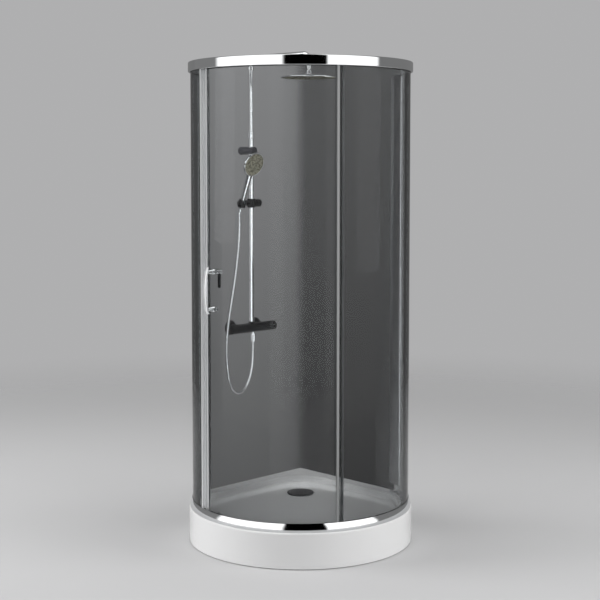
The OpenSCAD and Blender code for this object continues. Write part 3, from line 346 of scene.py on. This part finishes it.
def satin_metal(name, colour, roughness, metallic=0.6, stretch=NATURAL):
    """Pale metal with a soft sheen, as on anodised profiles, pipes and the hose."""
    material, tree, shader = new_material(name)
    shader.inputs["Metallic"].default_value = metallic
    streaks = noise(tree, 20.0, detail=2.0, stretch=stretch)
    tree.links.new(mottled(tree, streaks, shade(colour, 0.98), colour), shader.inputs["Base Color"])
    rough_by(tree, shader, streaks, roughness * 0.95, roughness * 1.05)
    return material


def brushed_metal(name, colour, roughness, stretch):
    """Plain steel with fine drawn lines."""
    material, tree, shader = new_material(name)
    shader.inputs["Metallic"].default_value = 1.0
    lines = noise(tree, 900.0, detail=2.0, stretch=stretch)
    tree.links.new(mottled(tree, lines, shade(colour, 0.8), colour), shader.inputs["Base Color"])
    rough_by(tree, shader, lines, roughness * 0.8, roughness * 1.3)
    relief(tree, shader, lines, strength=0.15, distance=0.0001)
    return material


def satin_paint(name, colour):
    """Dark satin coat on metal, with a fine orange-peel grain."""
    material, tree, shader = new_material(name)
    shader.inputs["Metallic"].default_value = 0.2
    tree.links.new(
        mottled(tree, noise(tree, 40.0), shade(colour, 0.85), shade(colour, 1.15)),
        shader.inputs["Base Color"])
    rough_by(tree, shader, noise(tree, 70.0), 0.28, 0.38)
    grain = noise(tree, 1400.0, detail=2.0)
    relief(tree, shader, grain, strength=0.12, distance=0.0001)
    return material


def moulded_plastic(name, colour, roughness, coat=0.0):
    """Plastic with slight tone drift and the faint flow of its mould."""
    material, tree, shader = new_material(name)
    shader.inputs["Coat Weight"].default_value = coat
    shader.inputs["Coat Roughness"].default_value = 0.04
    drift = noise(tree, 6.0)
    tree.links.new(mottled(tree, drift, shade(colour, 0.975), colour), shader.inputs["Base Color"])
    rough_by(tree, shader, noise(tree, 55.0), roughness * 0.85, roughness * 1.2)
    flow = noise(tree, 320.0, detail=2.0)
    relief(tree, shader, flow, strength=0.03, distance=0.0002)
    return material


def matt_grain(tree, shader):
    """Matt surface of rubber with its fine grain; gives the noise of the dust in it."""
    dust = noise(tree, 130.0, detail=6.0)
    rough_by(tree, shader, dust, 0.55, 0.75)
    grain = noise(tree, 900.0, detail=2.0)
    relief(tree, shader, grain, strength=0.2, distance=0.0002)
    return dust


def soft_rubber(name, colour):
    """Matt rubber with a fine grain and pale dust in it."""
    material, tree, shader = new_material(name)
    dust = matt_grain(tree, shader)
    tree.links.new(
        mottled(tree, dust, shade(colour, 0.8), shade(colour, 1.35)), shader.inputs["Base Color"])
    return material


def cells(tree, shader, output, scale, stops):
    """Colour that runs through stops of (place, colour) by one output of small cells."""
    place = add(tree, "ShaderNodeTexCoord")
    pattern = add(tree, "ShaderNodeTexVoronoi")
    pattern.inputs["Scale"].default_value = scale
    ramp = add(tree, "ShaderNodeValToRGB")
    for element, (at, colour) in zip(ramp.color_ramp.elements, stops):
        element.position = at
        element.color = (*colour, 1.0)
    tree.links.new(place.outputs["Object"], pattern.inputs["Vector"])
    tree.links.new(pattern.outputs[output], ramp.inputs["Fac"])
    tree.links.new(ramp.outputs["Color"], shader.inputs["Base Color"])
    return pattern


def nozzle_rubber(name, colour, gap, scale):
    """Soft rubber face with painted shade in the hollows between its nozzles."""
    material, tree, shader = new_material(name)
    # The gap colour is painted shade in the hollows between the nozzles
    cells(tree, shader, "Distance", scale, ((0.35, colour), (0.7, gap)))
    matt_grain(tree, shader)
    return material


def chipboard(name):
    """Pressed board with chips of several browns."""
    material, tree, shader = new_material(name)
    browns = ((0.0, (0.24, 0.14, 0.07)), (1.0, (0.55, 0.38, 0.21)))
    chips = cells(tree, shader, "Color", 160.0, browns)
    shader.inputs["Roughness"].default_value = 0.75
    relief(tree, shader, chips.outputs["Distance"], strength=0.3, distance=0.0004)
    return material


def let_light_through(tree, shader, veil):
    """Lets lamps light what stands behind a clear piece, dimmed by its veil."""
    path = add(tree, "ShaderNodeLightPath")
    clear = add(tree, "ShaderNodeBsdfTransparent")
    clear.inputs["Color"].default_value = (veil, veil, veil, 1.0)
    surface = mixed(
        tree, path.outputs["Is Shadow Ray"], shader.outputs["BSDF"], clear.outputs["BSDF"])
    tree.links.new(surface, tree.nodes["Material Output"].inputs["Surface"])


def smoked_glass(name, tint, density):
    """Toughened glass with a smoke tint in its depth and a clean polished face."""
    material, tree, shader = new_material(name)
    shader.inputs["Base Color"].default_value = (0.97, 0.98, 0.98, 1.0)
    shader.inputs["Transmission Weight"].default_value = 1.0
    shader.inputs["IOR"].default_value = GLASS_IOR
    rough_by(tree, shader, noise(tree, 5.0), 0.0, 0.012)
    depth = add(tree, "ShaderNodeVolumeAbsorption")
    depth.inputs["Color"].default_value = (*tint, 1.0)
    depth.inputs["Density"].default_value = density
    tree.links.new(depth.outputs["Volume"], tree.nodes["Material Output"].inputs["Volume"])
    let_light_through(tree, shader, GLASS_VEIL)
    return material


def clear_plastic(name, colour):
    """Soft translucent strip, a little milky."""
    material, tree, shader = new_material(name)
    shader.inputs["Transmission Weight"].default_value = 0.3
    shader.inputs["IOR"].default_value = PLASTIC_IOR
    tree.links.new(
        mottled(tree, noise(tree, 30.0), shade(colour, 0.88), colour), shader.inputs["Base Color"])
    rough_by(tree, shader, noise(tree, 90.0), 0.4, 0.5)
    let_light_through(tree, shader, SEAL_VEIL)
    return material


def paint(material, *names):
    """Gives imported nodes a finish."""
    for name in names:
        piece = NODES[name]
        if not piece.material_slots:
            piece.data.materials.append(material)
        for place in piece.material_slots:
            place.material = material


def front_point(radius, angle, height):
    """Point on the round front: the angle counts from the diagonal."""
    turned = angle + DIAGONAL
    return Vector((
        ARC_CENTRE.x + radius * math.cos(turned),
        ARC_CENTRE.y + radius * math.sin(turned),
        height,
    ))


def front_angle(point):
    """Angle of a point on the round front, from -180 to 180 degrees off the diagonal."""
    angle = math.atan2(point.y - ARC_CENTRE.y, point.x - ARC_CENTRE.x) - DIAGONAL
    return (angle + math.pi) % (2 * math.pi) - math.pi


def new_mesh(name, bm, material):
    """Turns a bmesh into a mesh with one finish."""
    mesh = bpy.data.meshes.new(name)
    bm.to_mesh(mesh)
    bm.free()
    mesh.materials.append(material)
    return mesh


def new_object(name, data):
    """Puts a mesh, curve, lamp or camera into the scene."""
    made = bpy.data.objects.new(name, data)
    bpy.context.scene.collection.objects.link(made)
    return made


def finished(name, bm, material):
    """Makes a piece from a bmesh and lets it ride on the enclosure."""
    bmesh.ops.remove_doubles(bm, verts=bm.verts, dist=DOUBLES)
    bmesh.ops.recalc_face_normals(bm, faces=bm.faces)
    mesh = new_mesh(name, bm, material)
    mesh.shade_smooth()
    mesh.set_sharp_from_angle(angle=SHARP)
    piece = new_object(name, mesh)
    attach(piece, ROOT)


def swept_strip(bm, section, start, end):
    """Sweeps a section of (radius, height) along the round front and closes its ends."""
    first = [bm.verts.new(front_point(radius, start, height)) for radius, height in section]
    face = bm.faces.new(first)
    steps = max(2, round(abs(end - start) / STRIP_STEP))
    bmesh.ops.spin(
        bm, geom=[face, *face.edges, *first], cent=ARC_CENTRE, axis=(0, 0, 1),
        angle=end - start, steps=steps, use_duplicate=False)


class SHOWER_OT_camera(Operator):
    """Places the camera in front of the round side"""
    bl_idname = "shower.camera"
    bl_label = "Camera"

    def execute(self, context):
        values = context.scene.shower_camera
        data = bpy.data.cameras.new("camera")
        data.lens = values.lens
        data.sensor_width = SENSOR_WIDTH
        data.shift_x = values.shift_x
        data.shift_y = values.shift_y
        camera = new_object("camera", data)
        away = values.distance / math.sqrt(2)
        camera.location = (away, -away, values.height)
        camera.rotation_euler = (math.pi / 2 - values.tilt, 0.0, -DIAGONAL)
        context.scene.camera = camera
        return {"FINISHED"}


class SHOWER_OT_hose(Operator):
    """Hangs the hose between the mixer and the handset"""
    bl_idname = "shower.hose"
    bl_label = "Hose"

    def execute(self, context):
        values = context.scene.shower_hose
        curve = bpy.data.curves.new("hose_route", "CURVE")
        curve.dimensions = "3D"
        curve.bevel_resolution = HOSE_ROUNDNESS
        curve.resolution_u = values.smoothness
        curve.use_fill_caps = True
        spline = curve.splines.new("BEZIER")
        spline.bezier_points.add(len(HOSE_POINTS) - 1)
        for point, place in zip(spline.bezier_points, HOSE_POINTS):
            point.co = Vector(place) * MILLIMETRE
            point.handle_left_type = point.handle_right_type = "AUTO"
        route = new_object("hose_route", curve)
        line = self.as_mesh(context, route)
        curve.bevel_depth = values.diameter / 2
        tube = self.as_mesh(context, route)
        bpy.data.objects.remove(route)
        hose = new_object("hanging_hose", tube)
        silver = shade(context.scene.shower_finish.chrome, 1.15)
        tube.materials.clear()
        tube.materials.append(
            satin_metal("hose_silver", silver, roughness=0.2, metallic=0.75))
        tube.shade_smooth()
        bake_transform(hose)
        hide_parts("shower_hose")
        return {"FINISHED"}

    def as_mesh(self, context, route):
        """Mesh of the route as it is at present: a bare line, or a tube once it is thick."""
        graph = context.evaluated_depsgraph_get()
        graph.update()
        return bpy.data.meshes.new_from_object(route.evaluated_get(graph))


class SHOWER_OT_metal(Operator):
    """Gives the rails, profiles and chrome fittings their finish"""
    bl_idname = "shower.metal"
    bl_label = "Metal"

    def execute(self, context):
        finish = context.scene.shower_finish
        rail = polished_metal(
            "rail_chrome", finish.chrome, finish.chrome_roughness, stretch=ALONG_RAIL)
        post = polished_metal(
            "post_chrome", finish.chrome, finish.chrome_roughness * 2, stretch=ALONG_POST,
            wave=0.0)
        edge = satin_metal("edge_metal", finish.edge, roughness=0.3, stretch=ALONG_POST)
        # Darker, rougher copy of the edge metal: its darkness is painted shade
        shaded_dull_edge = satin_metal(
            "shaded_dull_edge_metal", shade(finish.edge, 0.35), roughness=0.4, stretch=ALONG_POST)
        fitting = satin_metal(
            "fitting_chrome", shade(finish.chrome, 1.2), finish.fitting_roughness)
        inner = satin_metal(
            "inner_chrome", shade(finish.chrome, 1.15), roughness=0.1, metallic=0.95)
        # Darker copy of the edge metal for the wall profiles: painted shade, as they stand dark
        # behind the glass
        channel = satin_metal(
            "channel_metal_painted_shade", shade(finish.edge, 0.25), roughness=0.4, metallic=0.8,
            stretch=ALONG_POST)
        paint(rail, "top_rail", "bottom_rail")
        paint(post, "left_post", "right_post")
        paint(channel, "left_wall_profile", "right_wall_profile")
        paint(edge, "left_end_profile", "door_leading_profile")
        paint(shaded_dull_edge, "right_edge_profile")
        paint(fitting, "roller_caps", "handle_bar")
        paint(
            inner, "handle_standoffs", "inner_pull", "inner_cap", "hose_outlet",
            "mixer_hose_nut", "handset_hose_nut", "lower_riser", "riser_collar", "upper_riser",
            "arm_nut", "shower_arm", "head_joint", "rain_head", "hand_shower")
        steel = brushed_metal(
            "plain_steel", (0.55, 0.56, 0.57), roughness=0.35, stretch=ALONG_STEEL)
        paint(steel, "tray_leg_frame", "waste_flange", "post_screws", "roller_axles")
        return {"FINISHED"}


class SHOWER_OT_dark_fittings(Operator):
    """Gives the mixer, holder and drain cover their dark coat, and the bracket a lighter one with
    painted light
    """
    bl_idname = "shower.dark_fittings"
    bl_label = "Dark Fittings"

    def execute(self, context):
        graphite = context.scene.shower_finish.graphite
        paint(
            satin_paint("graphite_coat", graphite), "drain_cover", "pull_grip", "mixer_body",
            "mixer_unions", "temperature_knob", "flow_knob", "slider_body", "slider_knob",
            "shower_holder")
        # The bracket's coat is the graphite made six times lighter: painted light from above
        paint(satin_paint("bracket_coat_painted_light", shade(graphite, 6.0)), "wall_bracket")
        return {"FINISHED"}


class SHOWER_OT_tray(Operator):
    """Gives the tray, its board and its trap their finish"""
    bl_idname = "shower.tray"
    bl_label = "Tray"

    def execute(self, context):
        white = context.scene.shower_finish.acrylic
        paint(moulded_plastic("white_acrylic", white, roughness=0.16, coat=0.6), "shower_tray")
        paint(moulded_plastic("trap_plastic", shade(white, 0.9), roughness=0.3), "waste_trap")
        paint(chipboard("chipboard"), "tray_board")
        return {"FINISHED"}


class SHOWER_OT_glass(Operator):
    """Gives the door and the fixed panels their smoked glass"""
    bl_idname = "shower.glass"
    bl_label = "Glass"

    def execute(self, context):
        finish = context.scene.shower_finish
        glass = smoked_glass("smoked_glass", finish.tint, finish.tint_density)
        paint(glass, "left_fixed_glass", "right_fixed_glass", "door_glass")
        seal = clear_plastic("clear_seal", finish.seal)
        paint(
            seal, "left_magnet_strip", "door_magnet_strip", "door_trailing_seal",
            "handle_washers")
        return {"FINISHED"}


class SHOWER_OT_small_parts(Operator):
    """Gives wheels, stops, feet and nozzles their finish"""
    bl_idname = "shower.small_parts"
    bl_label = "Small Parts"

    def execute(self, context):
        beige = context.scene.shower_finish.spray
        black = soft_rubber("black_rubber", (0.03, 0.03, 0.03))
        paint(black, "tray_feet", "door_stops", "collar_screw")
        paint(
            # Each gap colour is painted shade between the nozzles
            nozzle_rubber("soft_nozzles", beige, gap=shade(beige, 0.4), scale=130.0),
            "spray_face")
        paint(
            nozzle_rubber(
                "grey_nozzles", shade(beige, 0.6), gap=shade(beige, 0.15), scale=60.0),
            "rain_nozzles")
        paint(
            moulded_plastic("nylon", (0.74, 0.74, 0.72), roughness=0.4), "top_wheel_left",
            "top_wheel_right", "bottom_wheel_left", "bottom_wheel_right")
        return {"FINISHED"}


class SHOWER_OT_gaskets(Operator):
    """Lays the glazing gaskets where the fixed glass enters the rails"""
    bl_idname = "shower.gaskets"
    bl_label = "Gaskets"

    def execute(self, context):
        values = context.scene.shower_trim
        rubber = soft_rubber("gasket_rubber", (0.02, 0.02, 0.02))
        rail_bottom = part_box("top_rail")[0].z
        rail_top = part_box("bottom_rail")[1].z
        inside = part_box("right_fixed_glass")[1].x - ARC_CENTRE.x
        outside = inside + values.gasket
        lip = inside + values.gasket * GASKET_LIP
        rows = (
            ("top", rail_bottom, rail_bottom - values.gasket_height),
            ("base", rail_top, rail_top + values.gasket_height),
        )
        for side in ("left", "right"):
            for row, near, far in rows:
                bm = bmesh.new()
                section = ((inside, near), (outside, near), (lip, far), (inside, far))
                swept_strip(bm, section, *self.span(side))
                finished(f"{side}_{row}_gasket", bm, rubber)
        return {"FINISHED"}

    def span(self, side):
        """First and last angle of one fixed panel."""
        panel = NODES[f"{side}_fixed_glass"].data
        angles = [front_angle(vertex.co) for vertex in panel.vertices]
        return min(angles), max(angles)


class SHOWER_OT_stage(Operator):
    """Sets the floor, the backdrop and the lamps"""
    bl_idname = "shower.stage"
    bl_label = "Stage"

    def execute(self, context):
        values = context.scene.shower_studio
        self.floor(values)
        self.world(context, values)
        # Name, place from the object's middle, side in metres and power
        lamps = (
            ("key_lamp", (-3.2, -3.6, 1.2), 2.6, values.key),
            ("fill_lamp", (4.2, 2.2, 1.0), 2.6, values.fill),
            ("top_lamp", (0.6, -0.6, 3.2), 2.4, values.top),
        )
        for lamp in lamps:
            self.softbox(*lamp)
        return {"FINISHED"}

    def floor(self, values):
        """Pale round floor under the object."""
        bm = bmesh.new()
        bmesh.ops.create_circle(
            bm, cap_ends=True, radius=values.floor_radius, segments=FLOOR_SIDES)
        material, tree, shader = new_material("pale_floor")
        floor = new_object("studio_floor", new_mesh("studio_floor", bm, material))
        floor.location = (0.0, 0.0, cad_low.z)
        shader.inputs["Roughness"].default_value = 0.9
        shader.inputs["Specular IOR Level"].default_value = 0.1
        grain = noise(tree, 3.0, detail=3.0)
        tree.links.new(
            mottled(tree, grain, shade(values.floor, 0.985), values.floor),
            shader.inputs["Base Color"])
        self.fade(tree, shader, values)

    def fade(self, tree, shader, values):
        """Lets the floor fade into the backdrop far away and behind the glass."""
        place = add(tree, "ShaderNodeTexCoord")
        far = add(tree, "ShaderNodeVectorMath", operation="LENGTH")
        tree.links.new(place.outputs["Object"], far.inputs[0])
        span = (FADE_START, values.floor_radius * FADE_END)
        reach = between(
            tree, far.outputs["Value"], 0.0, 1.0, span, interpolation_type="SMOOTHSTEP")
        path = add(tree, "ShaderNodeLightPath")
        hidden = calculate(tree, "MAXIMUM", reach, path.outputs["Is Transmission Ray"])
        gone = add(tree, "ShaderNodeBsdfTransparent")
        surface = mixed(tree, hidden, shader.outputs["BSDF"], gone.outputs["BSDF"])
        tree.links.new(surface, tree.nodes["Material Output"].inputs["Surface"])

    def world(self, context, values):
        """Even light, with the backdrop for the eye, painted shade on it behind the glass, and
        white panels for reflections.
        """
        world = bpy.data.worlds.new("studio")
        world.use_nodes = True
        context.scene.world = world
        tree = world.node_tree
        tree.nodes.clear()
        path = add(tree, "ShaderNodeLightPath")
        behind_glass = path.outputs["Is Transmission Ray"]
        even = self.light(tree, EVEN_GREY, values.ambient)
        tone = self.painted_shade_behind_glass(tree, values, behind_glass)
        seen = self.light(tree, values.backdrop, tone)
        contrast = between(tree, behind_glass, 1.0, values.inner_contrast)
        glow = calculate(tree, "POWER", self.panels(tree, values, behind_glass), contrast)
        mirrored = self.light(tree, WHITE, glow)
        sight = calculate(tree, "MAXIMUM", path.outputs["Is Camera Ray"], behind_glass)
        unmirrored = calculate(tree, "LESS_THAN", path.outputs["Glossy Depth"], 0.5)
        straight = calculate(tree, "MULTIPLY", sight, unmirrored)
        around = mixed(tree, path.outputs["Is Glossy Ray"], even, mirrored)
        view = mixed(tree, straight, around, seen)
        output = add(tree, "ShaderNodeOutputWorld")
        tree.links.new(view, output.inputs["Surface"])

    def light(self, tree, colour, strength):
        """Light of one colour from all round, its strength a number or a node's output."""
        glow = add(tree, "ShaderNodeBackground")
        glow.inputs["Color"].default_value = (*colour, 1.0)
        feed(tree, glow.inputs["Strength"], strength)
        return glow.outputs["Background"]

    def direction(self, tree):
        """Direction of sight, as a whole and in its X, Y and Z parts."""
        place = add(tree, "ShaderNodeTexCoord").outputs["Generated"]
        parts = add(tree, "ShaderNodeSeparateXYZ")
        tree.links.new(place, parts.inputs["Vector"])
        return place, *parts.outputs

    def painted_shade_behind_glass(self, tree, values, behind_glass):
        """Strength of the backdrop: full in the open, shaded by direction behind the glass."""
        sight, _, _, rise = self.direction(tree)
        across = add(tree, "ShaderNodeVectorMath", operation="DOT_PRODUCT")
        across.inputs[1].default_value = RIGHTWARDS
        tree.links.new(sight, across.inputs[0])
        # A ramp takes what is from 0 to 1, so straight ahead is moved to 0.5
        centred = calculate(tree, "ADD", across.outputs["Value"], 0.5)
        # These tones are painted shade, standing in for the shaded inside of the enclosure
        tones = (values.inner_left, values.inner_middle, values.inner_right)
        sides = self.steps(tree, centred, zip(TONE_PLACES, tones))
        low = between(tree, rise, values.inner_base, 1.0, TONE_RISE)
        shaded = calculate(tree, "MULTIPLY", sides, low)
        return between(tree, behind_glass, 1.0, shaded)

    def panels(self, tree, values, behind_glass):
        """Brightness round the object: grey, but for two white panels and a dark gap between.

        The stops are (degrees from the diagonal, brightness). In what is mirrored behind the
        smoked glass, the gap stands further round.
        """
        white = values.panel_glow
        stops = (
            (-95.0, LEFT_GREY), (-90.0, white), (-19.0, white), (-16.0, 0.0),
            (25.5, 0.0), (28.0, white), (82.0, white), (86.0, RIGHT_GREY),
        )
        turned = [
            ((angle + math.degrees(DIAGONAL) + 180.0) / 360.0, glow) for angle, glow in stops]
        _, x, y, _ = self.direction(tree)
        around = calculate(tree, "ARCTAN2", y, x)
        turn = between(tree, around, 0.0, 1.0, (-math.pi, math.pi))
        shift = -values.inner_turn / (2 * math.pi)
        moved = calculate(tree, "MULTIPLY_ADD", behind_glass, shift, turn)
        return self.steps(tree, moved, turned)

    def steps(self, tree, place, stops):
        """Brightness that runs through stops of (place from 0 to 1, brightness)."""
        ramp = add(tree, "ShaderNodeValToRGB")
        tree.links.new(place, ramp.inputs["Fac"])
        elements = ramp.color_ramp.elements
        while len(elements) > 1:
            elements.remove(elements[-1])
        for number, (at, glow) in enumerate(stops):
            element = elements[0] if number == 0 else elements.new(at)
            element.position = at
            element.color = (glow, glow, glow, 1.0)
        return ramp.outputs["Color"]

    def softbox(self, name, away, size, power):
        """Square lamp that looks at the object's middle, from a place given from there."""
        data = bpy.data.lights.new(name, "AREA")
        data.shape = "SQUARE"
        data.size = size
        data.energy = power
        lamp = new_object(name, data)
        lamp.location = (cad_low + cad_high) / 2 + Vector(away)
        lamp.rotation_euler = (-Vector(away)).to_track_quat("-Z", "Y").to_euler()
        lamp.visible_glossy = False


class SHOWER_PT_panel(Panel):
    """Lists the pieces and their settings"""
    bl_idname = "SHOWER_PT_panel"
    bl_label = "Shower Enclosure"
    bl_space_type = "VIEW_3D"
    bl_region_type = "UI"
    bl_category = "Shower"

    def draw(self, context):
        layout = self.layout
        for group in GROUPS:
            values = getattr(context.scene, group)
            box = layout.box()
            for name in values.__annotations__:
                box.prop(values, name)
        for operator in OPERATORS:
            layout.operator(operator.bl_idname)


GROUPS = {
    "shower_camera": CameraSettings,
    "shower_studio": StudioSettings,
    "shower_finish": FinishSettings,
    "shower_hose": HoseSettings,
    "shower_trim": TrimSettings,
}
OPERATORS = (
    SHOWER_OT_camera,
    SHOWER_OT_hose,
    SHOWER_OT_metal,
    SHOWER_OT_dark_fittings,
    SHOWER_OT_tray,
    SHOWER_OT_glass,
    SHOWER_OT_small_parts,
    SHOWER_OT_gaskets,
    SHOWER_OT_stage,
)


def register():
    for kind in (*GROUPS.values(), *OPERATORS, SHOWER_PT_panel):
        bpy.utils.register_class(kind)
    for name, kind in GROUPS.items():
        setattr(bpy.types.Scene, name, PointerProperty(type=kind))


def unregister():
    for name in GROUPS:
        delattr(bpy.types.Scene, name)
    for kind in reversed((*GROUPS.values(), *OPERATORS, SHOWER_PT_panel)):
        bpy.utils.unregister_class(kind)


def main():
    register()
    bpy.context.scene.view_settings.view_transform = "Standard"
    for operator in OPERATORS:
        group, name = operator.bl_idname.split(".")
        getattr(getattr(bpy.ops, group), name)()


if __name__ == "__main__":
    main()
